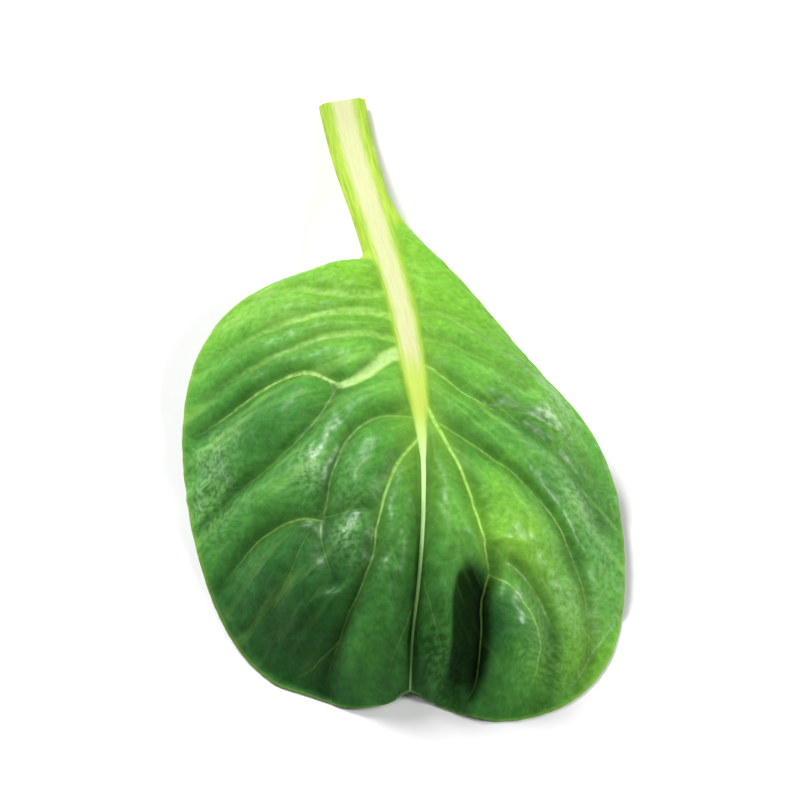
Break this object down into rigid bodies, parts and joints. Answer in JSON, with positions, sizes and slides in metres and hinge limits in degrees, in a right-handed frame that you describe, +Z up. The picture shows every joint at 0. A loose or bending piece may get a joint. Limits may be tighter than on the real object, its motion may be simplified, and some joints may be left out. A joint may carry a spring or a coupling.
{
  "type": "tatsoi leaf",
  "caption": "Picked tatsoi leaf lying face up: puckered spoon-shaped blade with a notched tip, branching veins and a thick pale stalk cut off square.",
  "frame": {"origin": "centre of the bounding box's base, on the surface that the leaf lies on", "axes": "+Y along the leaf towards the cut end of its stalk, +Z up, out of the leaf's upper face, +X to the right when the stalk points away"},
  "size_m": [0.0786, 0.1258, 0.0236],
  "materials": {
    "leaf": "waxy, semi-gloss deep green blade, paling to yellow-green at its base, with a cream-white midrib and stalk"
  },
  "bodies": {
    "root": {"tatsoi_leaf": "leaf"}
  },
  "joints": []
}
